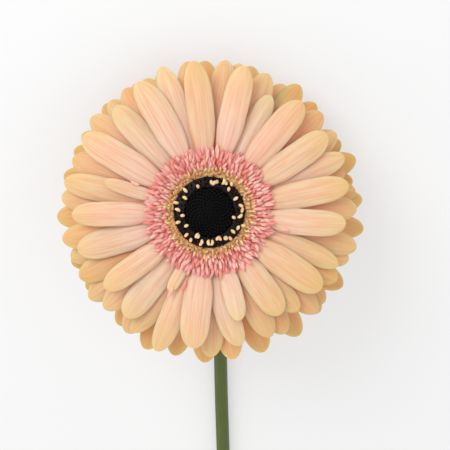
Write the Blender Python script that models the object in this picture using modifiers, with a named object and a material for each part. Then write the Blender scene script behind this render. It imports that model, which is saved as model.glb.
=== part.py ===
"""A cut gerbera lying on a flat surface, face up, at its real size.

The flower head is tilted away from its stem and rests on the tips of its lowest ray florets.
The stem bends at the neck and lies along -Y. Metres, +Z up, the origin at the middle of the
footprint on the surface. Lengths are written in millimetres and scaled by MM.
"""

import math

import bmesh
import bpy
from mathutils import Matrix, Vector
from mathutils.geometry import interpolate_bezier

MM = 0.001
GAP = 0.3 * MM  # between pieces that touch

# The head: where its centre is, and how far its face leans back from the stem
HEAD_CENTRE = Vector((0.0, 202.0, 31.1)) * MM
HEAD_TILT = math.radians(26.0)

# Ray florets: tier 0 is the lowest. Each tier starts higher on the receptacle and leaves it steeper.
RAY_BASE_RADIUS = 11.9 * MM
RAY_BASE_WIDTH = 2.8 * MM
RAY_THICKNESS = 0.5 * MM
TIER_STEP = 0.85 * MM
TIER_SLOPE_FIRST = 0.02
TIER_SLOPE_STEP = 0.055
RAY_ARCH = 5.0  # 1/m: how fast a floret bends down along its length
RAY_CAMBER = 0.085  # sagitta of the cross-section as a share of its width
RAY_WIDEST = 0.62  # share of the length where a floret reaches its full width
RAY_TIP_START = 0.70  # share of the length where the tip starts to round off
RAY_TIP_WIDTH = 0.30  # width left at the very tip, as a share of the full width
RAY_COLUMNS = 3
RAY_ROWS = 9

# Each ray floret: angle, reach from the head's axis, full width, sideways lean of the tip, tier, droop
# of the tip. Angles are in degrees, anticlockwise from +X seen from above the face. Lengths are in mm.
UPPER_RAYS = [
    (11.0, 48.9, 9.3, 0.0, 5, 0.0),
    (22.5, 50.7, 8.5, 0.0, 4, 0.0),
    (31.5, 48.6, 9.6, 2.0, 5, 0.4),
    (50.0, 49.6, 9.9, 0.0, 5, 0.0),
    (62.5, 45.8, 7.4, 0.0, 4, 0.3),
    (76.5, 51.7, 9.3, 0.0, 5, -0.3),
    (94.5, 52.4, 9.3, 1.5, 5, 0.0),
    (106.5, 53.6, 8.4, 2.0, 4, 0.4),
    (116.0, 51.4, 10.0, 3.0, 5, 0.5),
    (132.0, 49.3, 9.0, 0.0, 4, 0.0),
    (149.0, 51.0, 10.0, 0.0, 5, 0.3),
    (164.5, 37.7, 4.6, -1.0, 5, 0.0),
    (168.0, 51.7, 8.8, 0.0, 4, 0.4),
    (181.0, 47.5, 8.5, 0.0, 5, 0.0),
    (197.0, 47.5, 10.0, -1.0, 4, 0.0),
    (216.0, 44.7, 8.5, 0.0, 5, 0.2),
    (231.0, 46.5, 9.7, 0.0, 4, 0.0),
    (244.5, 30.6, 4.3, -1.5, 5, 0.0),
    (242.0, 50.0, 8.0, -5.0, 3, 0.3),
    (251.0, 51.7, 8.5, -2.0, 4, 0.6),
    (262.0, 47.2, 10.2, 1.0, 5, 0.0),
    (277.5, 47.5, 8.5, 5.0, 4, 0.4),
    (286.5, 38.7, 6.8, -1.0, 5, 0.0),
    (305.0, 43.0, 9.8, 0.0, 5, 0.5),
    (310.5, 46.0, 8.5, 1.5, 4, 0.3),
    (325.5, 46.8, 10.2, 0.0, 5, 0.0),
    (339.0, 48.2, 7.6, -1.5, 4, 0.0),
    (353.5, 47.2, 9.2, 1.5, 5, 0.0),
]
LOWER_RAYS = [
    (5.0, 54.6, 9.4, 0.0, 1, 0.0),
    (13.0, 52.5, 9.2, 0.0, 0, 0.0),
    (20.5, 55.6, 9.6, 0.0, 1, 0.5),
    (28.5, 53.5, 9.4, 0.0, 0, 0.0),
    (46.0, 54.2, 9.8, 0.0, 1, 0.0),
    (55.0, 55.3, 9.8, 0.0, 2, 0.4),
    (74.0, 54.9, 10.0, 0.0, 0, 0.0),
    (92.0, 54.2, 9.8, 0.0, 1, 0.0),
    (109.0, 54.4, 10.0, 0.0, 0, 0.8),
    (134.5, 53.9, 9.8, 0.0, 1, 0.0),
    (148.5, 54.0, 9.8, 0.0, 0, 0.6),
    (155.0, 52.8, 9.6, 0.0, 2, 0.0),
    (165.5, 53.9, 10.0, 0.0, 1, 0.3),
    (181.5, 54.2, 10.0, 0.0, 2, 0.8),
    (200.0, 52.5, 9.8, 0.0, 1, 0.0),
    (211.5, 52.1, 9.6, 0.0, 0, 0.0),
    (230.5, 52.1, 9.8, 0.0, 0, 0.6),
    (244.5, 53.9, 9.8, 0.0, 1, 0.5),
    (256.0, 52.1, 9.4, 0.0, 2, 0.0),
    (268.0, 53.5, 10.0, 0.0, 1, 0.0),
    (291.0, 53.2, 9.8, 0.0, 1, 0.0),
    (306.0, 54.6, 10.0, 0.0, 0, 0.0),
    (331.0, 54.2, 10.0, 0.0, 1, 0.6),
    (354.0, 55.6, 9.2, 0.0, 0, 0.0),
]
TOP_TIER = 5

# The receptacle: the fleshy core that every floret and bract grows from, as (radius, height), top to bottom
RECEPTACLE_PROFILE = [
    (0.0, 5.8),
    (8.0, 5.7),
    (11.5, 5.2),
    (11.5, -1.5),
    (10.7, -6.5),
    (8.2, -12.0),
    (4.6, -15.2),
    (0.0, -16.2),
]
TURNED_STEPS = 28

# Bract rows of the green cup: (radius, height) of the inside wall, top to bottom
INNER_BRACTS_WALL = [(12.6, -1.2), (11.9, -4.0), (10.9, -8.0), (8.6, -12.4), (5.0, -15.7), (3.6, -16.9)]
OUTER_BRACTS_WALL = [(12.9, -6.4), (11.9, -9.3), (9.9, -12.9), (6.4, -16.2), (4.4, -17.9)]
INNER_BRACT_COUNT = 20
OUTER_BRACT_COUNT = 16
BRACT_THICKNESS = 0.6 * MM
BRACT_TIP_RISE = 2.4 * MM
BRACT_COLUMNS = 4  # faces across one bract

# Centre of the face: rings of small florets, as inner radius, outer radius, rise and number of lobes
PINK_FLORETS = (15.3, 23.2, 3.6, 40)
CREAM_FLORETS = (12.9, 15.0, 3.4, 30)
OPEN_DISC_FLORETS = (8.2, 12.6, 3.2, 26)
RING_SECTION = 8
CENTRE_FLOOR = 6.1 * MM  # underside of the disc above the receptacle
DISC_BUD_RADIUS = 7.9 * MM
DISC_BUD_RISE = 2.9 * MM

# The stem (scape)
STEM_TOP_DEPTH = 16.5 * MM  # below the head's centre, along its axis
STEM_LENGTH = 455 * MM  # along Y, from the head's centre to the cut end
STEM_TOP_RADIUS = 2.9 * MM
STEM_NECK_RADIUS = 2.6 * MM
STEM_CUT_RADIUS = 3.6 * MM
NECK_REACH = 44 * MM  # along Y from the top of the stem to where it touches the surface
NECK_OFFSET = 3.3 * MM  # sideways
STEM_BOW = 5.0 * MM
NECK_POINTS = 14
LYING_POINTS = 18


def clear_scene():
    for item in list(bpy.data.objects):
        bpy.data.objects.remove(item)


def make_material(name, colour, roughness):
    """A matt, non-metallic surface."""
    material = bpy.data.materials.new(name)
    material.use_nodes = True
    shader = material.node_tree.nodes["Principled BSDF"]
    shader.inputs["Base Color"].default_value = (*colour, 1.0)
    shader.inputs["Roughness"].default_value = roughness
    shader.inputs["Metallic"].default_value = 0.0
    return material


def add_object(name, data, material, parent):
    """Links a mesh or curve under its parent, in the flower's collection."""
    made = bpy.data.objects.new(name, data)
    made.data.materials.append(material)
    made.parent = parent
    bpy.data.collections["cut_gerbera"].objects.link(made)
    return made


def smoothstep(x):
    x = min(max(x, 0.0), 1.0)
    return x * x * (3.0 - 2.0 * x)


def tier_height(tier, radius):
    """Height of a tier's midline above the head's plane: a straight rise less a parabola."""
    out = radius - RAY_BASE_RADIUS
    slope = TIER_SLOPE_FIRST + TIER_SLOPE_STEP * tier
    return TIER_STEP * tier + slope * out - RAY_ARCH * out * out


def ray_width(full_width, share):
    """Width at a share of the length: it swells from the base, then rounds off like an ellipse."""
    swell = RAY_BASE_WIDTH + (full_width - RAY_BASE_WIDTH) * smoothstep(share / RAY_WIDEST)
    into_tip = max(0.0, share - RAY_TIP_START) / (1.0 - RAY_TIP_START)
    round_off = math.sqrt(1.0 - (1.0 - RAY_TIP_WIDTH**2) * into_tip**2)
    return swell * round_off


def make_ray(name, ray, material, head):
    """A ray floret: a grid laid along a radius of the head, cambered across and arched along."""
    angle, reach, width, lean, tier, droop = ray
    length = reach * MM - RAY_BASE_RADIUS
    bm = bmesh.new()
    bmesh.ops.create_grid(bm, x_segments=RAY_COLUMNS, y_segments=RAY_ROWS, size=1.0)
    for vertex in bm.verts:
        across, along = vertex.co.x, (vertex.co.y + 1.0) / 2.0
        share = 1.0 - (1.0 - along) ** 1.5  # rows crowd towards the tip
        wide = ray_width(width * MM, share)
        radius = RAY_BASE_RADIUS + length * share
        side = across * wide / 2.0
        turn = math.radians(angle + lean * share * share)
        rise = tier_height(tier, radius)
        rise -= RAY_CAMBER * wide * across * across * smoothstep(share / 0.4)
        rise -= droop * MM * smoothstep((share - 0.5) / 0.5)
        outward = Vector((math.cos(turn), math.sin(turn), 0.0))
        sideways = Vector((-math.sin(turn), math.cos(turn), 0.0))
        vertex.co = outward * radius + sideways * side + Vector((0.0, 0.0, rise))
    bmesh.ops.recalc_face_normals(bm, faces=bm.faces)
    mesh = bpy.data.meshes.new(name)
    bm.to_mesh(mesh)
    bm.free()
    mesh.shade_smooth()
    floret = add_object(name, mesh, material, head)
    skin = floret.modifiers.new("thickness", "SOLIDIFY")
    skin.thickness = RAY_THICKNESS
    skin.offset = -1.0
    return floret


def make_turned(name, profile, material, parent):
    """A solid of revolution about the head's axis, from (radius, height) pairs in mm."""
    mesh = bpy.data.meshes.new(name)
    points = [(radius * MM, 0.0, height * MM) for radius, height in profile]
    mesh.from_pydata(points, [(i, i + 1) for i in range(len(points) - 1)], [])
    turned = add_object(name, mesh, material, parent)
    screw = turned.modifiers.new("turn", "SCREW")
    screw.steps = TURNED_STEPS
    screw.render_steps = TURNED_STEPS
    screw.use_merge_vertices = True
    screw.merge_threshold = 0.01 * MM
    return turned


def make_bract_row(name, wall, count, material, head):
    """A row of bracts joined into a cup: a turned wall whose rim rises to a point at each bract."""
    rows = len(wall) - 1
    columns = count * BRACT_COLUMNS
    bm = bmesh.new()
    bmesh.ops.create_grid(bm, x_segments=columns, y_segments=rows, size=1.0)
    for vertex in bm.verts:
        turn = math.pi * (vertex.co.x + 1.0)
        row = round((1.0 - vertex.co.y) / 2.0 * rows)
        radius, height = (value * MM for value in wall[row])
        point = abs(math.cos(turn * count / 2.0))  # 1 on a bract's midline, 0 between two
        if row == 0:
            height += BRACT_TIP_RISE * (point - 1.0)
            radius -= 0.12 * BRACT_TIP_RISE * (1.0 - point)
        vertex.co = Vector((radius * math.cos(turn), radius * math.sin(turn), height))
    bmesh.ops.remove_doubles(bm, verts=bm.verts, dist=0.01 * MM)
    bmesh.ops.recalc_face_normals(bm, faces=bm.faces)
    mesh = bpy.data.meshes.new(name)
    bm.to_mesh(mesh)
    bm.free()
    mesh.shade_smooth()
    cup = add_object(name, mesh, material, head)
    skin = cup.modifiers.new("thickness", "SOLIDIFY")
    skin.thickness = BRACT_THICKNESS
    skin.offset = 1.0
    return cup


def centre_floor(radius):
    """Underside of the face's centre: flat over the receptacle, then just above the top ray florets."""
    over_rays = tier_height(TOP_TIER, radius) + 2 * GAP
    return max(CENTRE_FLOOR, over_rays)


def make_floret_ring(name, ring, material, head):
    """A ring of small florets packed side by side: a torus on the floor under it, with a lobe for each."""
    inner, outer, rise, lobes = ring
    middle, half = (inner + outer) / 2 * MM, (outer - inner) / 2 * MM
    bpy.ops.mesh.primitive_torus_add(
        major_segments=lobes * 2,
        minor_segments=RING_SECTION,
        major_radius=middle,
        minor_radius=half,
    )
    made = bpy.context.object
    mesh = made.data
    bpy.data.objects.remove(made)
    for index, vertex in enumerate(mesh.vertices):
        turn = math.atan2(vertex.co.y, vertex.co.x)
        out = (math.hypot(vertex.co.x, vertex.co.y) - middle) / half
        up = vertex.co.z / half
        lobe = 1.0 if (index // RING_SECTION) % 2 else 0.88
        radius = middle + half * out * lobe
        height = centre_floor(radius) + rise * MM * (up + 1.0) / 2.0 * lobe
        vertex.co = Vector((radius * math.cos(turn), radius * math.sin(turn), height))
    mesh.name = name
    mesh.shade_smooth()
    return add_object(name, mesh, material, head)


def make_disc_buds(name, material, head):
    """The closed buds in the middle of the disc, as one low dome."""
    floor, rise = CENTRE_FLOOR / MM, DISC_BUD_RISE / MM
    rim = DISC_BUD_RADIUS / MM
    profile = [(0.0, floor + rise), (rim * 0.6, floor + rise * 0.95), (rim * 0.92, floor + rise * 0.7)]
    profile += [(rim, floor + rise * 0.3), (rim * 0.96, floor), (0.0, floor)]
    return make_turned(name, profile, material, head)


def stem_centreline(axis):
    """Points and radii of the stem: a bent neck from under the head, then a slight bow on the surface."""
    top = HEAD_CENTRE - axis * STEM_TOP_DEPTH
    touch = Vector((HEAD_CENTRE.x + NECK_OFFSET, top.y - NECK_REACH, STEM_NECK_RADIUS))
    down = top - axis * 0.30 * NECK_REACH
    back = touch + Vector((0.0, 0.50 * NECK_REACH, 0.0))
    neck = interpolate_bezier(top, down, back, touch, NECK_POINTS)
    points = []
    for index, place in enumerate(neck):
        share = index / (NECK_POINTS - 1)
        radius = STEM_TOP_RADIUS + (STEM_NECK_RADIUS - STEM_TOP_RADIUS) * smoothstep(share * 3.0)
        points.append((place, radius))
    cut_end = HEAD_CENTRE.y - STEM_LENGTH
    for index in range(1, LYING_POINTS + 1):
        share = index / LYING_POINTS
        radius = STEM_NECK_RADIUS + (STEM_CUT_RADIUS - STEM_NECK_RADIUS) * share
        bow = STEM_BOW * (math.sin(math.pi * share) ** 2 - 1.6 * share * share)
        place = Vector((touch.x + bow, touch.y + (cut_end - touch.y) * share, radius))
        points.append((place, radius))
    return points


def make_stem(name, axis, material, parent):
    """The scape: a round tube along its centreline, thicker towards the cut end."""
    curve = bpy.data.curves.new(name, "CURVE")
    curve.dimensions = "3D"
    curve.bevel_depth = 1.0
    curve.bevel_resolution = 2
    curve.use_fill_caps = True
    points = stem_centreline(axis)
    spline = curve.splines.new("POLY")
    spline.points.add(len(points) - 1)
    for point, (place, radius) in zip(spline.points, points):
        point.co = (*place, 1.0)
        point.radius = radius
    return add_object(name, curve, material, parent)


def main():
    clear_scene()
    flower = bpy.data.collections.new("cut_gerbera")
    bpy.context.scene.collection.children.link(flower)

    base = bpy.data.objects.new("gerbera", None)
    head = bpy.data.objects.new("head", None)
    for empty in (base, head):
        flower.objects.link(empty)
    head.parent = base
    head.location = HEAD_CENTRE
    head.rotation_euler = (-HEAD_TILT, 0.0, 0.0)
    axis = Matrix.Rotation(-HEAD_TILT, 3, "X") @ Vector((0.0, 0.0, 1.0))

    peach = make_material("ray_peach", (0.87, 0.58, 0.38), 0.55)
    sand = make_material("ray_sand", (0.78, 0.52, 0.27), 0.55)
    pink = make_material("trans_pink", (0.86, 0.31, 0.28), 0.6)
    cream = make_material("trans_cream", (0.74, 0.52, 0.24), 0.6)
    black = make_material("disc_black", (0.012, 0.008, 0.010), 0.5)
    maroon = make_material("disc_maroon", (0.06, 0.02, 0.02), 0.55)
    flesh = make_material("receptacle_flesh", (0.55, 0.62, 0.35), 0.6)
    leaf = make_material("bract_green", (0.11, 0.17, 0.05), 0.6)
    stalk = make_material("stem_green", (0.10, 0.14, 0.045), 0.5)

    for number, ray in enumerate(UPPER_RAYS, 1):
        make_ray(f"upper_ray_{number:02d}", ray, peach, head)
    for number, ray in enumerate(LOWER_RAYS, 1):
        make_ray(f"lower_ray_{number:02d}", ray, sand, head)

    make_turned("receptacle", RECEPTACLE_PROFILE, flesh, head)
    make_bract_row("inner_bracts", INNER_BRACTS_WALL, INNER_BRACT_COUNT, leaf, head)
    make_bract_row("outer_bracts", OUTER_BRACTS_WALL, OUTER_BRACT_COUNT, leaf, head)
    make_floret_ring("pink_trans_florets", PINK_FLORETS, pink, head)
    make_floret_ring("cream_trans_florets", CREAM_FLORETS, cream, head)
    make_floret_ring("open_disc_florets", OPEN_DISC_FLORETS, maroon, head)
    make_disc_buds("disc_buds", black, head)
    make_stem("stem", axis, stalk, base)


main()
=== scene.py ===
"""The looks of a cut gerbera lying face up: peach ray florets, a pink crown, a black disc.

Every piece is a skin: rings of points worked out with numpy, each ring joined to the next, and a pole
at both ends. Lengths are in millimetres, scaled by MM as a mesh is made. Pieces of the head are worked
out in the head's own frame (right, up along the face, out along its axis) and then turned and moved.
"""

import math

import bpy
import numpy as np
from mathutils import Matrix


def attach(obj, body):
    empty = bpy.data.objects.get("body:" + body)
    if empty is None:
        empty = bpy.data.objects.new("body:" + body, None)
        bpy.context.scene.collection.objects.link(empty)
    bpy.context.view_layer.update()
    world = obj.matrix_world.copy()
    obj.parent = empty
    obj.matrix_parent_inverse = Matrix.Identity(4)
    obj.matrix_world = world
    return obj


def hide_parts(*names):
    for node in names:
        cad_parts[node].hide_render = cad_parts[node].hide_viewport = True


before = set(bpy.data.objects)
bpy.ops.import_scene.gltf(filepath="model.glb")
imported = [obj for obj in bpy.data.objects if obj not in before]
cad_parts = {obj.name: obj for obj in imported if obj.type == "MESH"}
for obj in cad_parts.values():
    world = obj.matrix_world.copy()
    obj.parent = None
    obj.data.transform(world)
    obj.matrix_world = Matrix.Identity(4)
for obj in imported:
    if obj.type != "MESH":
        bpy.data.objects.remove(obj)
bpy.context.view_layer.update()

MM = 0.001

# The head: where its centre is, and how far its face leans back from the stem
HEAD_CENTRE = np.array([0.0, 202.0, 31.1])
HEAD_TILT = math.radians(26.0)
RIGHT = np.array([1.0, 0.0, 0.0])
UP = np.array([0.0, math.cos(HEAD_TILT), -math.sin(HEAD_TILT)])
OUT = np.array([0.0, math.sin(HEAD_TILT), math.cos(HEAD_TILT)])

# Ray florets: tier 0 is the lowest. Each tier starts higher on the receptacle and leaves it steeper.
RAY_BASE_RADIUS = 11.9
RAY_BASE_WIDTH = 3.0
RAY_THICKNESS = 0.46
TIER_STEP = 0.85
TIER_SLOPE_FIRST = 0.02
TIER_SLOPE_STEP = 0.055
RAY_ARCH = 0.005  # 1/mm
RAY_CAMBER = 0.075
RAY_WIDEST = 0.50
RAY_TIP_START = 0.70
RAY_ROWS = 22  # along the strap, before the tip
RAY_TIP_ROWS = 15
RAY_AROUND = 44

# Each ray floret: angle, reach from the head's axis, full width, sideways lean of the tip, tier, droop
# of the tip. Angles are in degrees, anticlockwise from the right. Lengths are in mm.
UPPER_RAYS = [
    (11.0, 48.9, 9.3, 0.0, 5, 0.0),
    (22.5, 50.7, 8.5, 0.0, 4, 0.0),
    (31.5, 48.6, 9.6, 2.0, 5, 0.4),
    (50.0, 49.6, 9.9, 0.0, 5, 0.0),
    (62.5, 45.8, 7.4, 0.0, 4, 0.3),
    (76.5, 51.7, 9.3, 0.0, 5, -0.3),
    (94.5, 52.4, 9.3, 1.5, 5, 0.0),
    (106.5, 53.6, 8.4, 2.0, 4, 0.4),
    (116.0, 51.4, 10.0, 3.0, 5, 0.5),
    (132.0, 49.3, 9.0, 0.0, 4, 0.0),
    (149.0, 51.0, 10.0, 0.0, 5, 0.3),
    (164.5, 37.7, 4.6, -1.0, 5, 0.0),
    (168.0, 51.7, 8.8, 0.0, 4, 0.4),
    (181.0, 47.5, 8.5, 0.0, 5, 0.0),
    (197.0, 47.5, 10.0, -1.0, 4, 0.0),
    (216.0, 44.7, 8.5, 0.0, 5, 0.2),
    (231.0, 46.5, 9.7, 0.0, 4, 0.0),
    (244.5, 30.6, 4.3, -1.5, 5, 0.0),
    (242.0, 50.0, 8.0, -5.0, 3, 0.3),
    (251.0, 51.7, 8.5, -2.0, 4, 0.6),
    (262.0, 47.2, 10.2, 1.0, 5, 0.0),
    (277.5, 47.5, 8.5, 5.0, 4, 0.4),
    (286.5, 38.7, 6.8, -1.0, 5, 0.0),
    (305.0, 43.0, 9.8, 0.0, 5, 0.5),
    (310.5, 46.0, 8.5, 1.5, 4, 0.3),
    (325.5, 46.8, 10.2, 0.0, 5, 0.0),
    (339.0, 48.2, 7.6, -1.5, 4, 0.0),
    (353.5, 47.2, 9.2, 1.5, 5, 0.0),
]
LOWER_RAYS = [
    (5.0, 54.6, 9.4, 0.0, 1, 0.0),
    (13.0, 52.5, 9.2, 0.0, 0, 0.0),
    (20.5, 55.6, 9.6, 0.0, 1, 0.5),
    (28.5, 53.5, 9.4, 0.0, 0, 0.0),
    (46.0, 54.2, 9.8, 0.0, 1, 0.0),
    (55.0, 55.3, 9.8, 0.0, 2, 0.4),
    (74.0, 54.9, 10.0, 0.0, 0, 0.0),
    (92.0, 54.2, 9.8, 0.0, 1, 0.0),
    (109.0, 54.4, 10.0, 0.0, 0, 0.8),
    (134.5, 53.9, 9.8, 0.0, 1, 0.0),
    (148.5, 54.0, 9.8, 0.0, 0, 0.6),
    (155.0, 52.8, 9.6, 0.0, 2, 0.0),
    (165.5, 53.9, 10.0, 0.0, 1, 0.3),
    (181.5, 54.2, 10.0, 0.0, 2, 0.8),
    (200.0, 52.5, 9.8, 0.0, 1, 0.0),
    (211.5, 52.1, 9.6, 0.0, 0, 0.0),
    (230.5, 52.1, 9.8, 0.0, 0, 0.6),
    (244.5, 53.9, 9.8, 0.0, 1, 0.5),
    (256.0, 52.1, 9.4, 0.0, 2, 0.0),
    (268.0, 53.5, 10.0, 0.0, 1, 0.0),
    (291.0, 53.2, 9.8, 0.0, 1, 0.0),
    (306.0, 54.6, 10.0, 0.0, 0, 0.0),
    (331.0, 54.2, 10.0, 0.0, 1, 0.6),
    (354.0, 55.6, 9.2, 0.0, 0, 0.0),
]
# Ray florets between the upper and lower ones, which have no CAD node of their own. Their tiers lie
# between whole ones where that keeps neighbours apart.
MIDDLE_RAYS = [
    (1.5, 51.4, 9.6, 0.0, 3.35, 0.0),
    (17.0, 49.5, 9.4, 0.0, 2.95, 0.3),
    (41.5, 52.4, 9.8, 0.0, 3.35, 0.0),
    (67.5, 52.8, 9.8, 0.0, 2.95, 0.0),
    (84.0, 53.6, 9.6, 0.0, 3.35, 0.3),
    (98.5, 53.5, 9.6, 0.0, 2.95, 0.0),
    (124.5, 52.6, 9.8, 0.0, 3.35, 0.0),
    (141.0, 53.4, 9.8, 0.0, 2.95, 0.0),
    (158.5, 51.5, 9.8, 0.0, 3.35, 0.0),
    (174.0, 52.2, 9.6, 0.0, 2.95, 0.3),
    (190.5, 52.4, 9.6, 0.0, 3.35, 0.4),
    (206.5, 51.0, 9.6, 0.0, 2.95, 0.0),
    (222.5, 49.9, 9.6, 0.0, 3.35, 0.2),
    (270.5, 50.6, 9.4, 0.0, 2.95, 0.0),
    (296.0, 48.4, 9.4, 0.0, 3.35, 0.0),
    (317.0, 51.4, 9.8, 0.0, 2.95, 0.0),
    (332.0, 50.4, 9.4, 0.0, 3.35, 0.3),
    (346.5, 53.0, 9.6, 0.0, 2.95, 0.0),
    (32.0, 52.6, 9.6, 0.0, 2.3, 0.0),
    (78.5, 53.4, 9.6, 0.0, 2.6, 0.3),
    (116.0, 52.4, 9.8, 0.0, 2.3, 0.0),
    (132.0, 52.9, 9.6, 0.0, 2.6, 0.3),
    (198.0, 51.6, 9.6, 0.0, 2.3, 0.0),
    (215.5, 52.1, 9.8, 0.0, 2.6, 0.0),
    (235.0, 51.6, 9.6, 0.0, 2.3, 0.0),
    (279.0, 52.4, 9.4, 0.0, 2.2, 0.0),
    (302.0, 50.2, 9.8, 0.0, 2.5, 0.0),
    (322.0, 51.4, 9.6, 0.0, 2.1, 0.3),
    (341.0, 51.7, 9.6, 0.0, 2.3, 0.3),
    (8.5, 52.0, 9.4, 0.0, 2.1, 0.0),
    (120.5, 53.0, 9.6, 0.0, 1.5, 0.0),
    (216.0, 52.0, 9.6, 0.0, 1.5, 0.0),
    (318.0, 52.6, 9.6, 0.0, 1.5, 0.0),
    (60.0, 52.6, 9.6, 0.0, 1.35, 0.0),
]
TOP_TIER = 5

# A ray floret's finer shape. "Across" runs from -1 to 1 over its width.
FURROW_ACROSS = 0.36
FURROW_WIDTH = 0.13
FURROW_DEPTH = 0.16
MARGIN_WAVES = 1.7  # along one margin
TIP_CURL = 0.9  # how far tips differ in height
ROLL = 0.1  # how far florets differ in their slope across

# Rows of small florets: how many, radius that they start from and its spread, length, width, slope
# that they start with and how much of it they lose, in mm and degrees
PINK_ROWS = [
    (72, 14.7, 0.3, 3.4, 1.1, 76.0, 74.0),
    (80, 15.7, 0.3, 4.0, 1.15, 70.0, 78.0),
    (86, 16.8, 0.3, 4.4, 1.2, 60.0, 74.0),
    (92, 18.0, 0.4, 4.6, 1.25, 48.0, 64.0),
    (96, 19.2, 0.4, 4.3, 1.3, 34.0, 52.0),
]
CREAM_ROWS = [
    (58, 12.5, 0.2, 2.5, 0.85, 84.0, 40.0),
    (64, 13.3, 0.2, 2.8, 0.9, 78.0, 50.0),
    (68, 14.1, 0.2, 3.1, 0.95, 72.0, 56.0),
]
OPEN_DISC_ROWS = [
    (40, 8.6, 0.25, 2.3, 0.8, 84.0, 50.0),
    (46, 9.7, 0.3, 2.5, 0.85, 74.0, 60.0),
    (52, 10.8, 0.3, 2.5, 0.85, 66.0, 66.0),
]
FLORET_THICKNESS = 0.18
CROWN_FLOOR = 6.1  # height of the surface that they grow from
CROWN_ABOVE_RAYS = 0.5
ROOT_DEPTH = 0.3

# How one small floret differs from the next. Place is a share of the room that each has, and the length
# and width are multiplied. Lift and bend are in degrees, the last three in radians.
PLACE_SPREAD = 0.35
LENGTH_RANGE = (0.78, 1.18)
WIDTH_RANGE = (0.8, 1.2)
LIFT_SPREAD = 12.0
BEND_SPREAD = 18.0
BEARING_SCATTER = 0.16
TWIST_SCATTER = 0.5
CURL_SCATTER = 0.3

# Beds that the florets stand on, and the collar under the head, as (radius, height) round a section
PINK_BED = [(20.6, 6.0), (21.2, 6.5), (20.2, 6.7), (17.8, 6.3), (15.2, 6.1), (14.6, 5.8), (14.8, 5.3)]
CREAM_BED = [(14.9, 5.3), (15.2, 5.8), (14.9, 6.1), (13.7, 6.2), (12.5, 6.1), (12.2, 5.8), (12.4, 5.3)]
OPEN_DISC_BED = [(11.8, 5.3), (12.5, 5.8), (12.3, 6.1), (10.0, 6.3), (8.4, 6.3), (7.9, 5.8)]
BUD_BED = [(0.5, 8.3), (4.0, 8.0), (7.0, 7.3), (8.6, 6.6), (8.6, 6.0), (0.5, 6.0)]
COLLAR = [(2.4, -18.6), (3.5, -18.5), (4.9, -17.6), (5.2, -15.6), (3.0, -14.6)]

# Pink florets that have strayed out on to the ray florets, almost flat: angle, radius, length
STRAY_FLORETS = [(347.0, 25.0, 3.6), (244.0, 28.6, 4.2), (251.0, 25.2, 3.8), (159.0, 26.0, 3.4)]
STRAY_WIDTH = 1.2
STRAY_THICKNESS = 0.3
STRAY_LIFT = 16.0
STRAY_BEND = 18.0
STRAY_HEIGHT = 0.2  # above the top tier

# Anther tips: angle round the disc, radius, bearing, sideways curl, length, in degrees and mm. Two that
# start at one place make a forked tip.
ANTHERS = [
    (84.0, 9.4, 40.0, 40.0, 2.0),
    (84.5, 9.6, 115.0, -30.0, 1.6),
    (76.0, 11.4, 250.0, 20.0, 1.4),
    (66.0, 10.6, 20.0, 130.0, 2.4),
    (62.0, 11.9, 290.0, -30.0, 1.3),
    (50.0, 11.8, 80.0, 40.0, 1.4),
    (48.0, 9.7, 75.0, 20.0, 1.6),
    (27.0, 9.3, 25.0, 30.0, 1.9),
    (14.0, 10.4, 355.0, -70.0, 1.8),
    (8.0, 11.6, 265.0, -30.0, 2.0),
    (357.0, 11.2, 250.0, -80.0, 2.2),
    (347.0, 9.2, 165.0, -60.0, 1.4),
    (337.5, 11.9, 350.0, 20.0, 1.4),
    (327.5, 11.2, 50.0, 30.0, 1.7),
    (320.5, 9.7, 330.0, -30.0, 1.8),
    (309.0, 10.8, 300.0, 20.0, 1.6),
    (303.0, 9.9, 320.0, -60.0, 1.5),
    (303.0, 9.9, 265.0, 30.0, 1.4),
    (291.0, 8.8, 290.0, 30.0, 1.9),
    (290.0, 9.0, 245.0, -20.0, 1.5),
    (275.0, 9.6, 300.0, -110.0, 2.2),
    (269.0, 9.6, 230.0, 120.0, 2.2),
    (254.5, 9.8, 280.0, -40.0, 1.7),
    (256.0, 10.9, 225.0, 30.0, 1.3),
    (243.0, 8.2, 215.0, 60.0, 2.1),
    (243.0, 8.4, 275.0, -30.0, 1.7),
    (235.0, 10.9, 250.0, 30.0, 1.5),
    (225.0, 10.4, 215.0, 30.0, 1.7),
    (211.0, 8.5, 200.0, 20.0, 1.6),
    (198.0, 10.6, 190.0, 30.0, 1.8),
    (188.0, 8.6, 170.0, 40.0, 1.6),
    (178.0, 10.2, 130.0, 70.0, 2.0),
    (163.0, 11.1, 190.0, -60.0, 2.0),
    (151.0, 9.0, 120.0, 70.0, 1.8),
    (138.0, 10.3, 140.0, -20.0, 2.0),
    (115.0, 9.1, 100.0, 20.0, 1.4),
]

ANTHER_HEIGHT = 8.1
ANTHER_HEIGHT_SPREAD = 0.4
ANTHER_WIDTH = 1.12
ANTHER_THICKNESS = 0.7

# The closed buds in the middle stand on a dome
BUD_COUNT = 170
BUD_RADIUS = 0.36
BUD_RADIUS_GAIN = 0.03  # per mm from the axis
BUD_HEIGHT = 0.7
BUD_HEIGHT_SPREAD = 0.2
DOME_FOOT = 6.3
DOME_RISE = 2.3
DOME_RADIUS = 9.5
BUD_DISC_RADIUS = 8.2
GOLDEN_ANGLE = math.radians(137.508)

# Bracts under the head: the wall that each row follows, as (radius, height) from its tips down
INNER_BRACTS_WALL = [(12.6, -1.2), (11.9, -4.0), (10.9, -8.0), (8.6, -12.4), (5.0, -15.7), (3.6, -16.9)]
OUTER_BRACTS_WALL = [(12.9, -6.4), (11.9, -9.3), (9.9, -12.9), (6.4, -16.2), (4.4, -17.9)]
BRACT_STAND_OFF = 0.3
BRACT_THICKNESS = 0.5
BRACT_KEEL = 0.22
BRACT_TIP_OVER = 0.175
BRACT_FLARE = 0.25

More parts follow.
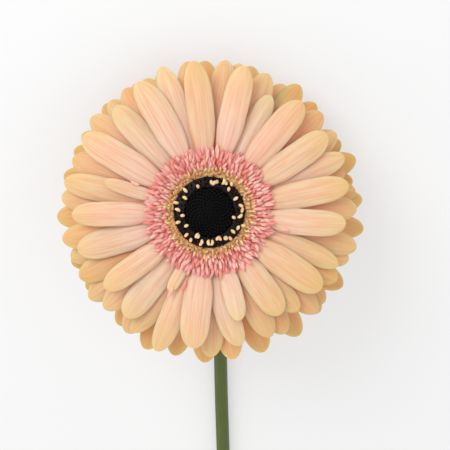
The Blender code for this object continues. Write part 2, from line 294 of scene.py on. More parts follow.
# The stem (scape)
STEM_TOP_DEPTH = 16.5
STEM_LENGTH = 455.0
STEM_TOP_RADIUS = 2.9
STEM_NECK_RADIUS = 2.6
STEM_CUT_RADIUS = 3.6
NECK_REACH = 44.0
NECK_OFFSET = 3.3
NECK_DROP = 0.30  # shares of the reach
NECK_RUN = 0.50
STEM_BOW = 5.0
STEM_DRIFT = 1.6  # of the bow
STEM_RIBS = 9
STEM_RIB_SHARE = 0.012  # of the radius

# The camera looks straight along the head's axis. The middle of its view lies this far to the right of
# the head's centre and below it.
LENS = 85.0
SENSOR = 36.0
VIEW_WIDTH = 158.4
VIEW_RIGHT = 5.35
VIEW_DOWN = 4.4

# Floor and light. The softbox stands off from the head's centre by these lengths.
FLOOR_HALF_SIDE = 6.0  # metres
FLOOR_GREY = 190
FLOOR_GLOW = 0.40
WORLD_LIGHT = 0.86
SOFTBOX_OUT = 700.0
SOFTBOX_LEFT = 450.0
SOFTBOX_UP = 350.0
SOFTBOX_SIZE = 0.6  # metres
SOFTBOX_POWER = 3.8  # watts

# Shades from 0 to 255, from the base of a petal or floret to its tip
PETAL_STOPS = (0.18, 0.42, 0.72, 0.97)
PETAL_SHADES = {
    "petal_peach": [(240, 202, 186), (241, 206, 188), (237, 204, 178), (230, 202, 160)],
    # The deep orange shades near the base of the honey and sand petals are painted warm bounced light,
    # for where their bases show in the shaded gaps between the upper petals.
    "petal_honey": [(236, 158, 118), (238, 188, 158), (233, 196, 162), (223, 192, 146)],
    "petal_sand": [(236, 146, 102), (234, 176, 138), (222, 184, 138), (206, 180, 124)],
}
FLORET_STOPS = (0.05, 0.5, 0.95)
FLORET_SHADES = {
    "crown_pink": [(253, 206, 172), (254, 190, 180), (254, 178, 172)],
    "crown_cream": [(186, 150, 84), (232, 194, 134), (250, 220, 170)],
    "floret_maroon": [(10, 5, 6), (24, 7, 9), (44, 14, 17)],
    "anther_cream": [(225, 190, 140), (240, 208, 160), (246, 216, 170)],
}
BRACT_STOPS = (0.0, 0.7, 1.0)
BRACT_SHADES = [(96, 112, 58), (84, 102, 52), (98, 72, 58)]
STEM_STOPS = (0.0, 0.12, 0.75, 1.0)
STEM_SHADES = [(94, 108, 52), (90, 104, 50), (84, 94, 46), (100, 80, 50)]


def smoothstep(x):
    """Rises smoothly from 0 to 1 as x does, as 3x2 - 2x3."""
    x = np.clip(x, 0.0, 1.0)
    return x * x * (3.0 - 2.0 * x)


def full_turn(around):
    """Angles once round a ring."""
    return np.linspace(0.0, 2.0 * math.pi, around, endpoint=False)


# ---------------------------------------------------------------- making pieces


def from_head(points):
    """Points in the head's frame, turned to its tilt and moved to its place."""
    turned = points[..., :1] * RIGHT + points[..., 1:2] * UP + points[..., 2:] * OUT
    return turned + HEAD_CENTRE


def polar(radius, angle, height):
    """Points of the head's frame from radii, angles round the axis and heights."""
    radius, angle, height = np.broadcast_arrays(radius, angle, height)
    return np.stack([radius * np.cos(angle), radius * np.sin(angle), height], axis=-1)


def skin_faces(count, rows, around):
    """Faces of many like skins. Each is rows of rings, then the two pole points."""
    row, column = np.meshgrid(np.arange(rows - 1), np.arange(around), indexing="ij")
    beside = (column + 1) % around
    quads = np.stack(
        [
            row * around + column,
            row * around + beside,
            (row + 1) * around + beside,
            (row + 1) * around + column,
        ],
        axis=-1,
    ).reshape(-1, 4)
    edge = np.arange(around)
    after = (edge + 1) % around
    first, last = rows * around, rows * around + 1
    start = np.stack([np.full(around, first), after, edge], axis=-1)
    top = (rows - 1) * around
    end = np.stack([np.full(around, last), top + edge, top + after], axis=-1)
    shift = (np.arange(count) * (rows * around + 2))[:, None, None]
    quads = (quads[None] + shift).reshape(-1, 4)
    triangles = (np.concatenate([start, end])[None] + shift).reshape(-1, 3)
    return quads, triangles


def faces_outward(points, quads, triangles):
    """The faces, turned over if they point inwards: that is, if the tetrahedra that they make with the
    first point add up to a negative volume."""
    fans = np.concatenate([quads[:, :3], quads[:, [0, 2, 3]], triangles])
    a, b, c = (points[fans[:, corner]] - points[0] for corner in range(3))
    if np.einsum("ij,ij->", a, np.cross(b, c)) < 0.0:
        return quads[:, ::-1], triangles[:, ::-1]
    return quads, triangles


def make_skins(name, rings, marks, material):
    """One mesh from rings[skin, row, around, xyz] in mm, closed by a pole at each end.

    marks[skin, row, around, 3] is kept as the attribute "mark": where a point lies on its floret,
    and a tone that is the floret's own.
    """
    count, rows, around, _ = rings.shape
    poles = np.stack([rings[:, 0].mean(axis=1), rings[:, -1].mean(axis=1)], axis=1)
    points = np.concatenate([rings.reshape(count, rows * around, 3), poles], axis=1).reshape(-1, 3)
    quads, triangles = faces_outward(points, *skin_faces(count, rows, around))
    mesh = bpy.data.meshes.new(name)
    mesh.vertices.add(len(points))
    mesh.vertices.foreach_set("co", (points * MM).ravel())
    corners = np.concatenate([quads.ravel(), triangles.ravel()])
    sizes = np.concatenate([np.full(len(quads), 4), np.full(len(triangles), 3)])
    mesh.loops.add(len(corners))
    mesh.loops.foreach_set("vertex_index", corners)
    mesh.polygons.add(len(sizes))
    mesh.polygons.foreach_set("loop_start", np.concatenate([[0], np.cumsum(sizes)[:-1]]))
    mesh.update(calc_edges=True)
    mesh.shade_smooth()
    ends = np.stack([marks[:, 0].mean(axis=1), marks[:, -1].mean(axis=1)], axis=1)
    values = np.concatenate([marks.reshape(count, rows * around, 3), ends], axis=1)
    layer = mesh.attributes.new("mark", "FLOAT_VECTOR", "POINT")
    layer.data.foreach_set("vector", values.ravel())
    piece = bpy.data.objects.new(name, mesh)
    piece.data.materials.append(material)
    bpy.context.scene.collection.objects.link(piece)
    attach(piece, "root")
    return piece


# ---------------------------------------------------------------- finishes


WHITE = (1.0, 1.0, 1.0, 1.0)


def colour(red, green, blue):
    """A linear colour with alpha from the usual 0 to 255 values."""
    share = np.array([red, green, blue]) / 255.0
    linear = np.where(share <= 0.04045, share / 12.92, ((share + 0.055) / 1.055) ** 2.4)
    return (*linear.tolist(), 1.0)


class Finish:
    """A material, and short ways to add the nodes that plant tissue needs."""

    def __init__(self, name, roughness=0.5, specular=0.35):
        self.material = bpy.data.materials.new(name)
        self.material.use_nodes = True
        self.nodes = self.material.node_tree.nodes
        self.links = self.material.node_tree.links
        self.shader = self.nodes["Principled BSDF"]
        self.shader.inputs["Roughness"].default_value = roughness
        self.shader.inputs["Specular IOR Level"].default_value = specular

    def put(self, value, socket):
        """Feeds a socket from another socket, or sets its value."""
        if isinstance(value, bpy.types.NodeSocket):
            self.links.new(value, socket)
        else:
            socket.default_value = value

    def mark(self):
        """The three values of the piece's own "mark" attribute."""
        attribute = self.nodes.new("ShaderNodeAttribute")
        attribute.attribute_name = "mark"
        split = self.nodes.new("ShaderNodeSeparateXYZ")
        self.put(attribute.outputs["Vector"], split.inputs[0])
        return split.outputs[0], split.outputs[1], split.outputs[2]

    def place(self):
        """The point in metres, in the piece's own coordinates."""
        return self.nodes.new("ShaderNodeTexCoord").outputs["Object"]

    def vector(self, x, y, z):
        """A vector from three sockets or values."""
        join = self.nodes.new("ShaderNodeCombineXYZ")
        for value, socket in zip((x, y, z), join.inputs):
            self.put(value, socket)
        return join.outputs[0]

    def math(self, operation, a, b=0.0):
        """A Math node's operation on sockets or values."""
        step = self.nodes.new("ShaderNodeMath")
        step.operation = operation
        self.put(a, step.inputs[0])
        self.put(b, step.inputs[1])
        return step.outputs[0]

    def noise(self, vector, scale, detail=3.0):
        """Noise from 0 to 1."""
        cloud = self.nodes.new("ShaderNodeTexNoise")
        self.put(vector, cloud.inputs["Vector"])
        self.put(scale, cloud.inputs["Scale"])
        self.put(detail, cloud.inputs["Detail"])
        self.put(0.55, cloud.inputs["Roughness"])
        return cloud.outputs["Fac"]

    def ramp(self, value, stops):
        """Colours or greys at stops along a value."""
        band = self.nodes.new("ShaderNodeValToRGB")
        elements = band.color_ramp.elements
        while len(elements) < len(stops):
            elements.new(0.5)
        for element, (position, shade) in zip(elements, stops):
            element.position = position
            element.color = shade if isinstance(shade, tuple) else (shade, shade, shade, 1.0)
        self.put(value, band.inputs["Fac"])
        return band.outputs["Color"]

    def shades(self, value, stops, shades):
        """A ramp of shades from 0 to 255."""
        return self.ramp(value, [(stop, colour(*shade)) for stop, shade in zip(stops, shades)])

    def tint(self, factor, body, shade):
        """A colour multiplied by another as far as the factor goes. Sockets 6, 7 and 2 are the Mix
        node's two colours and its result."""
        filter_node = self.nodes.new("ShaderNodeMix")
        filter_node.data_type = "RGBA"
        filter_node.blend_type = "MULTIPLY"
        self.put(factor, filter_node.inputs[0])
        self.put(body, filter_node.inputs[6])
        self.put(shade, filter_node.inputs[7])
        return filter_node.outputs[2]

    def bump(self, height, strength, distance):
        """Relief of a height from 0 to 1 over a distance in mm."""
        relief = self.nodes.new("ShaderNodeBump")
        relief.inputs["Strength"].default_value = strength
        relief.inputs["Distance"].default_value = distance * MM
        self.put(height, relief.inputs["Height"])
        self.put(relief.outputs["Normal"], self.shader.inputs["Normal"])

    def glow_through(self, weight, radius, scale):
        """Light that enters thin tissue and comes out again, over a scale in mm."""
        self.shader.inputs["Subsurface Weight"].default_value = weight
        self.shader.inputs["Subsurface Radius"].default_value = radius
        self.shader.inputs["Subsurface Scale"].default_value = scale * MM

    def base(self, value):
        """The surface's own colour."""
        self.put(value, self.shader.inputs["Base Color"])


def petal_finish(name):
    """Petal tissue: shades along its length, tinted by fine nerves, by painted shade in the two furrows
    that run lengthwise and by painted warm shade along the margins near the base, where petals meet in
    creases, by a slow drift over the head and by the petal's own tone."""
    finish = Finish(name, roughness=0.52, specular=0.3)
    across, along, tone = finish.mark()
    off_middle = finish.math("ABSOLUTE", across)
    # On the honey and sand petals, the base of this ramp is painted warm bounced light.
    body = finish.shades(along, PETAL_STOPS, PETAL_SHADES[name])
    lengthwise = finish.vector(across, finish.math("MULTIPLY", along, 0.35), tone)
    nerves = finish.ramp(finish.noise(lengthwise, 9.0, 2.0), [(0.4, 0.0), (0.72, 0.6)])
    body = finish.tint(nerves, body, colour(248, 206, 190))
    # Painted shade: the two lengthwise furrows darkened and made pinker, fading towards the tip.
    furrow = finish.ramp(off_middle, [(0.22, 0.0), (FURROW_ACROSS, 0.48), (0.5, 0.0)])
    furrow = finish.math("MULTIPLY", furrow, finish.ramp(along, [(0.1, 0.9), (0.9, 0.1)]))
    body = finish.tint(furrow, body, colour(246, 196, 178))
    # Painted warm shade: both margins darkened towards orange-brown near the base, where neighbouring
    # petals meet in shaded creases.
    crease_shade = finish.ramp(off_middle, [(0.78, 0.0), (1.0, 0.85)])
    crease_shade = finish.math("MULTIPLY", crease_shade, finish.ramp(along, [(0.22, 1.0), (0.62, 0.0)]))
    body = finish.tint(crease_shade, body, colour(226, 136, 92))
    drift = finish.ramp(finish.noise(finish.place(), 70.0, 2.0), [(0.3, 0.0), (0.75, 0.5)])
    body = finish.tint(drift, body, colour(252, 244, 222))
    own = finish.ramp(tone, [(0.0, colour(255, 240, 232)), (0.5, WHITE), (1.0, colour(250, 240, 216))])
    finish.base(finish.tint(1.0, body, own))
    fine = finish.noise(finish.vector(across, finish.math("MULTIPLY", along, 0.12), tone), 26.0)
    finish.bump(fine, 0.35, 0.12)
    finish.glow_through(0.6, (1.0, 0.5, 0.3), 1.1)
    return finish.material


def floret_finish(name):
    """Small floret tissue: shades from root to tip, tinted by a tone of its own for each floret."""
    finish = Finish(name, roughness=0.55, specular=0.3)
    _, along, tone = finish.mark()
    body = finish.shades(along, FLORET_STOPS, FLORET_SHADES[name])
    rosy, pale, warm = colour(228, 168, 164), colour(250, 226, 224), colour(255, 250, 232)
    own = finish.ramp(tone, [(0.0, rosy), (0.4, pale), (0.7, WHITE), (1.0, warm)])
    finish.base(finish.tint(1.0, body, own))
    finish.bump(finish.noise(finish.place(), 3000.0, 2.0), 0.2, 0.1)
    finish.glow_through(0.4, (1.0, 0.45, 0.4), 0.6)
    return finish.material


def dark_finish():
    """The disc's near-black buds, with a faint wine tint where they catch the light."""
    finish = Finish("disc_black", roughness=0.55, specular=0.12)
    _, _, tone = finish.mark()
    finish.base(finish.ramp(tone, [(0.0, colour(3, 3, 4)), (1.0, colour(12, 8, 10))]))
    finish.bump(finish.noise(finish.place(), 2500.0, 2.0), 0.3, 0.1)
    return finish.material


def bract_finish():
    """Green bracts, downy and a little wine-coloured at their tips."""
    finish = Finish("bract_green", roughness=0.62, specular=0.3)
    across, along, tone = finish.mark()
    body = finish.shades(along, BRACT_STOPS, BRACT_SHADES)
    lengthwise = finish.vector(across, finish.math("MULTIPLY", along, 0.3), tone)
    streaks = finish.ramp(finish.noise(lengthwise, 8.0), [(0.3, 0.0), (0.8, 0.6)])
    finish.base(finish.tint(streaks, body, colour(176, 188, 140)))
    finish.bump(finish.noise(finish.place(), 2500.0), 0.4, 0.15)
    finish.glow_through(0.1, (0.5, 0.7, 0.2), 0.5)
    return finish.material


def stem_finish():
    """The scape: grey-green, ribbed along its length, browner towards the cut end."""
    finish = Finish("stem_green", roughness=0.5, specular=0.35)
    around, along, _ = finish.mark()
    body = finish.shades(along, STEM_STOPS, STEM_SHADES)
    lengthwise = finish.vector(around, finish.math("MULTIPLY", along, 9.0), 0.0)
    streaks = finish.ramp(finish.noise(lengthwise, 3.0, 4.0), [(0.35, 0.0), (0.7, 0.55)])
    finish.base(finish.tint(streaks, body, colour(190, 196, 150)))
    finish.bump(finish.noise(finish.place(), 1500.0), 0.35, 0.12)
    finish.glow_through(0.08, (0.5, 0.7, 0.2), 0.6)
    return finish.material


def flesh_finish():
    """The receptacle: pale green flesh, mottled."""
    finish = Finish("receptacle_flesh", roughness=0.6)
    mottle = finish.noise(finish.place(), 400.0)
    finish.base(finish.shades(mottle, (0.3, 0.7), [(170, 184, 120), (196, 204, 150)]))
    return finish.material


# ---------------------------------------------------------------- ray florets


def tier_height(tier, radius):
    """Height of a tier's midline above the head's plane: a straight rise less a parabola."""
    out = radius - RAY_BASE_RADIUS
    slope = TIER_SLOPE_FIRST + TIER_SLOPE_STEP * tier
    return TIER_STEP * tier + slope * out - RAY_ARCH * out * out


def ray_width(full_width, share, bluntness):
    """Width along the strap: it swells from the base, then rounds off like an ellipse at the tip."""
    swell = RAY_BASE_WIDTH + (full_width - RAY_BASE_WIDTH) * smoothstep(share / RAY_WIDEST)
    into_tip = np.clip((share - RAY_TIP_START) / (1.0 - RAY_TIP_START), 0.0, 1.0)
    return swell * np.sqrt(1.0 - into_tip**bluntness)


def ray_rings(ray, rng):
    """Rings and marks of one ray floret.

    Rows run out along a radius and loops run round the strap. The strap's mid-surface is the tier's
    arch, less a camber that lowers both margins, less two lengthwise furrows, plus a slow wave of the
    margins and a roll. The loop is an ellipse about that surface, so the margins are thin and rounded.
    """
    angle, reach, width, lean, tier, droop = ray
    wave, phase, roll, curl, blunt, tone = rng.random(6)
    strap = np.linspace(0.0, RAY_TIP_START, RAY_ROWS, endpoint=False)
    round_off = np.sin(np.linspace(0.0, 0.495 * math.pi, RAY_TIP_ROWS))
    tip = RAY_TIP_START + (1.0 - RAY_TIP_START) * round_off
    share = np.concatenate([strap, tip])[:, None]
    turn = full_turn(RAY_AROUND)[None, :]
    across = np.cos(turn)
    wide = ray_width(width, share, 2.3 + 0.6 * blunt)
    radius = RAY_BASE_RADIUS + (reach - RAY_BASE_RADIUS) * share
    settled = smoothstep(share / 0.4)
    rise = tier_height(tier, radius) - RAY_CAMBER * wide * across**2 * settled
    rise = rise - droop * smoothstep((share - 0.5) / 0.5)
    rise = rise + (0.5 - curl) * TIP_CURL * smoothstep((share - 0.55) / 0.45)
    furrow = np.exp(-(((np.abs(across) - FURROW_ACROSS) / FURROW_WIDTH) ** 2))
    rise = rise - FURROW_DEPTH * furrow * settled * smoothstep((1.0 - share) / 0.25)
    ripple = np.sin(2.0 * math.pi * (MARGIN_WAVES * share + phase))
    rise = rise + (0.1 + 0.14 * wave) * across**2 * ripple * settled
    rise = rise + (roll - 0.5) * ROLL * wide / 2.0 * across * settled
    thinning = 0.55 + 0.45 * (1.0 - share)
    thick = RAY_THICKNESS * thinning * np.sqrt(np.clip(wide / width, 0.03, 1.0))
    rise = rise + thick / 2.0 * np.sin(turn)
    bearing = np.radians(angle + lean * share**2)
    x = radius * np.cos(bearing) - across * wide / 2.0 * np.sin(bearing)
    y = radius * np.sin(bearing) + across * wide / 2.0 * np.cos(bearing)
    rings = np.stack([x, y, rise], axis=-1)
    flat = np.ones_like(rise)
    marks = np.stack([across * flat, share * flat, tone * flat], axis=-1)
    return rings[None], marks[None]


def make_rays(prefix, rays, material, replaced, rng):
    """Each ray floret as a piece of its own, in the place of its CAD node if it has one."""
    for number, ray in enumerate(rays, 1):
        rings, marks = ray_rings(ray, rng)
        node = f"{prefix}_{number:02d}"
        piece = make_skins(f"{node}_petal", from_head(rings), marks, material)
        if replaced:
            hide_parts(node)


# ---------------------------------------------------------------- the crown and the disc


def strap_rings(
    base, bearing, length, width, lift, bend, twist, curl, thickness, tone, rows=6, around=6
):
    """Rings and marks of small straps, one for each entry of the arrays.

    A strap's spine starts at base and adds up short steps. A step's bearing turns by curl over the
    length and its slope falls from lift by bend, so the strap rises, curls over and may hook sideways.
    The section is an ellipse that rolls by twist. Its width swells, then rounds off to a tip.
    """
    count = len(bearing)
    share = np.linspace(0.0, 1.0, rows)[None, :, None]
    heading = bearing[:, None, None] + curl[:, None, None] * share
    slope = lift[:, None, None] - bend[:, None, None] * share
    level = np.zeros_like(heading)
    outward = np.concatenate([np.cos(heading), np.sin(heading), level], axis=2)
    sideways = np.concatenate([-np.sin(heading), np.cos(heading), level], axis=2)
    upward = np.array([0.0, 0.0, 1.0])
    ahead = np.cos(slope) * outward + np.sin(slope) * upward
    facing = np.cos(slope) * upward - np.sin(slope) * outward
    steps = ahead[:, :-1] * length[:, None, None] / (rows - 1)
    travel = np.concatenate([np.zeros((count, 1, 3)), np.cumsum(steps, axis=1)], axis=1)
    spine = base[:, None, :] + travel
    roll = twist[:, None, None] * share
    side = np.cos(roll) * sideways + np.sin(roll) * facing
    face = np.cos(roll) * facing - np.sin(roll) * sideways
    swell = 0.5 + 0.5 * np.sin(math.pi / 2.0 * np.minimum(share / 0.4, 1.0))
    taper = np.sqrt(np.clip(1.0 - np.clip((share - 0.5) / 0.5, 0.0, 1.0) ** 2, 0.01, 1.0))
    wide = (width[:, None, None] * swell * taper)[..., None]
    thick = (thickness * taper)[..., None]
    turn = full_turn(around)[None, None, :, None]
    rings = (
        spine[:, :, None, :]
        + side[:, :, None, :] * wide / 2.0 * np.cos(turn)
        + face[:, :, None, :] * thick / 2.0 * np.sin(turn)
    )
    flat = np.ones((count, rows, around))
    marks = np.stack([np.cos(turn[..., 0]) * flat, share * flat, tone[:, None, None] * flat], axis=-1)
    return rings, marks


def crown_floor(radius):
    """Height that the small florets grow from: flat, or just above the top tier if that is higher."""
    return np.maximum(CROWN_FLOOR, tier_height(TOP_TIER, radius) + CROWN_ABOVE_RAYS)


def ring_of_straps(count, radius, spread, length, width, lift, bend, rng):
    """Arguments of strap_rings for florets set round the axis, each a little out of line."""
    place = np.arange(count) + rng.uniform(-PLACE_SPREAD, PLACE_SPREAD, count)
    angle = place * 2.0 * math.pi / count
    start = radius + rng.uniform(-spread, spread, count)
    return {
        "base": polar(start, angle, crown_floor(start) - ROOT_DEPTH),
        "bearing": angle + rng.normal(0.0, BEARING_SCATTER, count),
        "length": length * rng.uniform(*LENGTH_RANGE, count),
        "width": width * rng.uniform(*WIDTH_RANGE, count),
        "lift": np.radians(lift + rng.uniform(-LIFT_SPREAD, LIFT_SPREAD, count)),
        "bend": np.radians(bend + rng.uniform(-BEND_SPREAD, BEND_SPREAD, count)),
        "twist": rng.normal(0.0, TWIST_SCATTER, count),
        "curl": rng.normal(0.0, CURL_SCATTER, count),
        "thickness": FLORET_THICKNESS,
        "tone": rng.random(count),
    }


def stray_straps(rng):
    """Rings and marks of the stray florets, which lie almost flat along the ray florets."""
    angle, radius, length = (np.array(values) for values in zip(*STRAY_FLORETS))
    count = len(STRAY_FLORETS)
    bearing = np.radians(angle)
    return strap_rings(
        base=polar(radius, bearing, tier_height(TOP_TIER, radius) + STRAY_HEIGHT),
        bearing=bearing,
        length=length,
        width=np.full(count, STRAY_WIDTH),
        lift=np.radians(np.full(count, STRAY_LIFT)),
        bend=np.radians(np.full(count, STRAY_BEND)),
        twist=rng.normal(0.0, 0.3, count),
        curl=rng.normal(0.0, 0.2, count),
        thickness=STRAY_THICKNESS,
        tone=rng.random(count),
    )


def make_floret_ring(names, node, material, parts, bed_profile, bed_mark):
    """A ring of small florets as one piece, and the bed it stands on as another. The bed's mark picks
    one shade for it from those that a floret has along its length."""
    rings = np.concatenate([part[0] for part in parts])
    marks = np.concatenate([part[1] for part in parts])
    piece = make_skins(names[0], from_head(rings), marks, material)
    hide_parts(node)
    bed, bed_marks = dish_rings(bed_profile)
    bed_piece = make_skins(names[1], from_head(bed), bed_marks + bed_mark, material)


def floret_rows(rows, rng):
    """Rings and marks of several rows of florets."""
    return [strap_rings(**ring_of_straps(*row, rng)) for row in rows]


def make_crown(rng):
    """The pink trans florets with their strays, the cream ones inside them, then the open disc ones."""
    strays = [stray_straps(rng)]
    make_floret_ring(
        ("pink_crown", "pink_crown_bed"),
        "pink_trans_florets",
        floret_finish("crown_pink"),
        floret_rows(PINK_ROWS, rng) + strays,
        PINK_BED,
        0.5,
    )
    make_floret_ring(
        ("cream_crown", "cream_crown_bed"),
        "cream_trans_florets",
        floret_finish("crown_cream"),
        floret_rows(CREAM_ROWS, rng),
        CREAM_BED,
        0.5,
    )
    make_floret_ring(
        ("open_disc_floret_ring", "open_disc_floret_bed"),
        "open_disc_florets",
        floret_finish("floret_maroon"),
        floret_rows(OPEN_DISC_ROWS, rng),
        OPEN_DISC_BED,
        0.0,
    )


def bud_rings(places, size, height, tone, rows=5, around=8):
    """Rounded buds standing on their places: each ring is a circle that closes like a dome."""
    rise = np.linspace(0.0, 1.0, rows)
    shrink = np.sqrt(np.clip(1.0 - rise**2.6, 0.02, 1.0))
    turn = full_turn(around)
    circle = np.stack([np.cos(turn), np.sin(turn), np.zeros(around)], axis=-1)
    rings = (
        places[:, None, None, :]
        + circle[None, None] * (size[:, None] * shrink)[:, :, None, None]
        + np.array([0.0, 0.0, 1.0]) * (height[:, None] * rise)[:, :, None, None]
    )
    flat = np.ones(rings.shape[:3])
    along, tones = rise[None, :, None] * flat, tone[:, None, None] * flat
    marks = np.stack([np.zeros_like(flat), along, tones], axis=-1)
    return rings, marks


def seed_spiral(count, outer):
    """Radii and angles of places spread evenly on a disc, each a golden angle on from the last."""
    index = np.arange(count) + 0.5
    radius = np.sqrt(outer**2 * index / count)
    return radius, index * GOLDEN_ANGLE


def make_disc(material, rng):
    """The closed buds in the middle, tight together on a dome that falls as the radius squared."""
    radius, angle = seed_spiral(BUD_COUNT, BUD_DISC_RADIUS)
    dome = DOME_FOOT + DOME_RISE * (1.0 - (radius / DOME_RADIUS) ** 2)
    size = BUD_RADIUS + BUD_RADIUS_GAIN * radius
    height = BUD_HEIGHT + BUD_HEIGHT_SPREAD * rng.random(len(radius))
    rings, marks = bud_rings(polar(radius, angle, dome), size, height, rng.random(len(radius)))
    bed, bed_marks = dish_rings(BUD_BED)
    buds = make_skins("disc_bud_cluster", from_head(rings), marks, material)
    bed_piece = make_skins("disc_bud_bed", from_head(bed), bed_marks, material)
    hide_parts("disc_buds")


def dish_rings(profile, around=48):
    """A turned skin through (radius, height) pairs."""
    radius, height = (np.array(values)[:, None] for values in zip(*profile))
    rings = polar(radius, full_turn(around)[None, :], height)
    return rings[None], np.zeros_like(rings)[None]


def make_anthers(material, rng):
    """Cream anther tips lying on the dark florets: short rounded straps, each on its own bearing."""
    angle, radius, bearing, curl, length = (np.array(values) for values in zip(*ANTHERS))
    count = len(ANTHERS)
    rings, marks = strap_rings(
        base=polar(radius, np.radians(angle), ANTHER_HEIGHT + ANTHER_HEIGHT_SPREAD * rng.random(count)),
        bearing=np.radians(bearing),
        length=length,
        width=np.full(count, ANTHER_WIDTH),
        lift=np.radians(rng.uniform(5.0, 30.0, count)),
        bend=np.radians(rng.uniform(20.0, 50.0, count)),
        twist=rng.normal(0.0, 0.2, count),
        curl=np.radians(curl),
        thickness=ANTHER_THICKNESS,
        tone=rng.uniform(0.4, 1.0, count),
        rows=9,
        around=8,
    )
    piece = make_skins("anther_tips", from_head(rings), marks, material)


# ---------------------------------------------------------------- under the head


def make_bracts(name, node, wall, count, width, material, rng):
    """A row of separate pointed bracts that follow the cup's wall and overlap their neighbours.

    A bract's section is a thin ellipse along the wall, raised in a keel along its middle and tipped over
    so that one margin lies under the next bract. Its point flares a little.
    """
    heights = np.array([height for _, height in wall])
    radii = np.array([radius for radius, _ in wall])
    share = np.linspace(0.0, 1.0, 14)[None, :, None]
    around = 18
    turn = full_turn(around)[None, None, :]
    tone = rng.random(count)[:, None, None]
    place = np.arange(count) + rng.uniform(-0.12, 0.12, count)
    middle = place[:, None, None] * 2.0 * math.pi / count
    length = 1.0 + rng.uniform(-0.06, 0.06, count)[:, None, None]
    height = heights[-1] + (heights[0] - heights[-1]) * share * length
    radius = np.interp(height, heights[::-1], radii[::-1]) + BRACT_STAND_OFF
    pointed = np.sqrt(np.clip(1.0 - share**3.2, 0.004, 1.0))
    wide = width * pointed * (0.62 + 0.38 * smoothstep(share / 0.5))
    across = np.cos(turn)
    thick = BRACT_THICKNESS * np.sqrt(np.clip(1.0 - share**4, 0.05, 1.0))
    keel = BRACT_KEEL * (1.0 - across**2) - BRACT_TIP_OVER * across
    flare = BRACT_FLARE * smoothstep((share - 0.8) / 0.2)
    radius = radius + keel + thick / 2.0 * np.sin(turn) + flare
    bearing = middle + across * wide / 2.0 / np.maximum(radius, 2.0)
    rings = polar(radius, bearing, height)
    flat = np.ones(rings.shape[:3])
    marks = np.stack([across * flat, share * flat, tone * flat], axis=-1)
    piece = make_skins(name, from_head(rings), marks, material)
    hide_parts(node)


def make_involucre(material, rng):
    """Two rows of bracts, and the collar where they meet the stem."""
    make_bracts("inner_bract_row", "inner_bracts", INNER_BRACTS_WALL, 20, 5.0, material, rng)
    make_bracts("outer_bract_row", "outer_bracts", OUTER_BRACTS_WALL, 16, 5.4, material, rng)
    rings, marks = dish_rings(COLLAR, around=64)
    collar = make_skins("involucre_collar", from_head(rings), marks, material)


def stem_line(rows_neck=40, rows_lying=150):
    """Points and radii of the stem: a bent neck as a cubic Bezier curve, then a lying part with a slow
    sideways bow, a squared sine less a parabola."""
    top = HEAD_CENTRE - OUT * STEM_TOP_DEPTH
    touch = np.array([HEAD_CENTRE[0] + NECK_OFFSET, top[1] - NECK_REACH, STEM_NECK_RADIUS])
    down = top - OUT * NECK_DROP * NECK_REACH
    back = touch + np.array([0.0, NECK_RUN * NECK_REACH, 0.0])
    t = np.linspace(0.0, 1.0, rows_neck)[:, None]
    rest = 1.0 - t
    neck = rest**3 * top + 3 * rest**2 * t * down + 3 * rest * t**2 * back + t**3 * touch
    neck_radius = STEM_TOP_RADIUS + (STEM_NECK_RADIUS - STEM_TOP_RADIUS) * smoothstep(t[:, 0] * 3.0)
    share = np.linspace(0.0, 1.0, rows_lying + 1)[1:]
    radius = STEM_NECK_RADIUS + (STEM_CUT_RADIUS - STEM_NECK_RADIUS) * share
    bow = STEM_BOW * (np.sin(math.pi * share) ** 2 - STEM_DRIFT * share * share)
    cut_end = HEAD_CENTRE[1] - STEM_LENGTH
    lying = np.stack([touch[0] + bow, touch[1] + (cut_end - touch[1]) * share, radius], axis=-1)
    return np.concatenate([neck, lying]), np.concatenate([neck_radius, radius])


def ribbed_tube(line, radius, around):
    """Rings of a tube along a line: each lies square to the line, in a frame kept upright. Its radius
    swells and shrinks by a cosine with one wave for each rib."""
    ahead = np.gradient(line, axis=0)
    ahead /= np.linalg.norm(ahead, axis=1, keepdims=True)
    side = np.cross(ahead, np.array([0.35, 0.0, 1.0]))
    side /= np.linalg.norm(side, axis=1, keepdims=True)
    other = np.cross(ahead, side)
    turn = full_turn(around)[None, :]
    ribbed = radius[:, None] * (1.0 + STEM_RIB_SHARE * np.cos(STEM_RIBS * turn))
    return (
        line[:, None, :]
        + side[:, None, :] * (ribbed * np.cos(turn))[..., None]
        + other[:, None, :] * (ribbed * np.sin(turn))[..., None]
    )


def make_stem(material):
    """The scape as one skin, finely ribbed, with a flat cut end."""
    line, radius = stem_line()
    around = 54
    rings = ribbed_tube(line, radius, around)
    steps = np.linalg.norm(np.diff(line, axis=0), axis=1)
    travelled = np.concatenate([[0.0], np.cumsum(steps)])
    turn = full_turn(around)
    grid = np.ones(rings.shape[:2])
    marks = np.stack(
        [np.cos(turn) * 2.0 * grid, (travelled / travelled[-1])[:, None] * grid, np.sin(turn) * grid],
        axis=-1,
    )
    piece = make_skins("stem_scape", rings[None], marks[None], material)
    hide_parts("stem")


# ---------------------------------------------------------------- floor, light and camera


def make_stage():
    """A wide pale floor, which glows a little so that it stays even under the head."""
    floor_mesh = bpy.data.meshes.new("floor")
    side = FLOOR_HALF_SIDE
    corners = [(-side, -side, 0), (side, -side, 0), (side, side, 0), (-side, side, 0)]
    floor_mesh.from_pydata(corners, [], [(0, 1, 2, 3)])
    floor = bpy.data.objects.new("floor", floor_mesh)
    bpy.context.scene.collection.objects.link(floor)
    paper = Finish("pale_floor", roughness=0.9, specular=0.1)
    paper.base(colour(FLOOR_GREY, FLOOR_GREY, FLOOR_GREY))
    paper.shader.inputs["Emission Color"].default_value = WHITE
    paper.shader.inputs["Emission Strength"].default_value = FLOOR_GLOW
    floor.data.materials.append(paper.material)


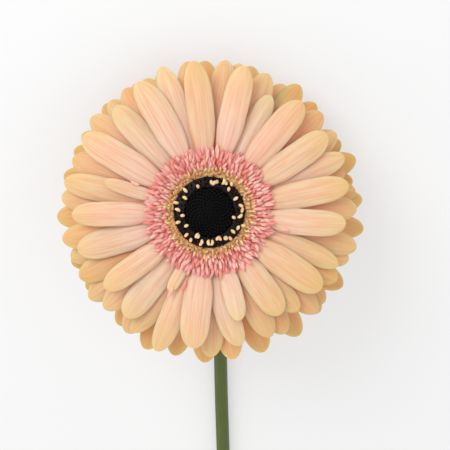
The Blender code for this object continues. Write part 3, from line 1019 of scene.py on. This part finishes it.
def aim(thing, place, towards_back, up):
    """Places a camera or a light: its back faces along one direction, its top along another."""
    back = towards_back / np.linalg.norm(towards_back)
    right = np.cross(up, back)
    right /= np.linalg.norm(right)
    top = np.cross(back, right)
    matrix = np.eye(4)
    matrix[:3, 0], matrix[:3, 1], matrix[:3, 2], matrix[:3, 3] = right, top, back, place * MM
    thing.matrix_world = Matrix(matrix.tolist())


def make_light(name, place, size, power):
    """A round soft light at a place in mm, turned towards the head. Its size is in metres."""
    lamp = bpy.data.lights.new(name, "AREA")
    lamp.shape = "DISK"
    lamp.size = size
    lamp.energy = power
    light = bpy.data.objects.new(name, lamp)
    bpy.context.scene.collection.objects.link(light)
    aim(light, place, place - HEAD_CENTRE, UP)


def make_camera():
    """Looks straight down the head's axis, with the stem running down the picture."""
    distance = VIEW_WIDTH * LENS / SENSOR
    camera = bpy.data.cameras.new("camera")
    camera.lens, camera.sensor_width = LENS, SENSOR
    camera.clip_start, camera.clip_end = 0.01, 20.0
    eye = bpy.data.objects.new("camera", camera)
    bpy.context.scene.collection.objects.link(eye)
    centre = HEAD_CENTRE + RIGHT * VIEW_RIGHT - UP * VIEW_DOWN
    aim(eye, centre + OUT * distance, OUT, UP)
    bpy.context.scene.camera = eye


def make_world():
    """Even white light from all round."""
    world = bpy.data.worlds.new("studio")
    world.use_nodes = True
    world.node_tree.nodes["Background"].inputs["Color"].default_value = WHITE
    world.node_tree.nodes["Background"].inputs["Strength"].default_value = WORLD_LIGHT
    bpy.context.scene.world = world


def main():
    """Makes everything. The order matters, because all the pieces draw on one row of random numbers."""
    rng = np.random.default_rng(7)
    make_rays("upper_ray", UPPER_RAYS, petal_finish("petal_peach"), True, rng)
    make_rays("middle_ray", MIDDLE_RAYS, petal_finish("petal_honey"), False, rng)
    make_rays("lower_ray", LOWER_RAYS, petal_finish("petal_sand"), True, rng)
    make_crown(rng)
    make_anthers(floret_finish("anther_cream"), rng)
    make_disc(dark_finish(), rng)
    make_involucre(bract_finish(), rng)
    make_stem(stem_finish())
    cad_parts["receptacle"].material_slots[0].material = flesh_finish()

    make_stage()
    make_world()
    softbox_place = HEAD_CENTRE + OUT * SOFTBOX_OUT - RIGHT * SOFTBOX_LEFT + UP * SOFTBOX_UP
    make_light("key_softbox", softbox_place, SOFTBOX_SIZE, SOFTBOX_POWER)
    make_camera()
    bpy.context.scene.view_settings.view_transform = "Standard"


main()
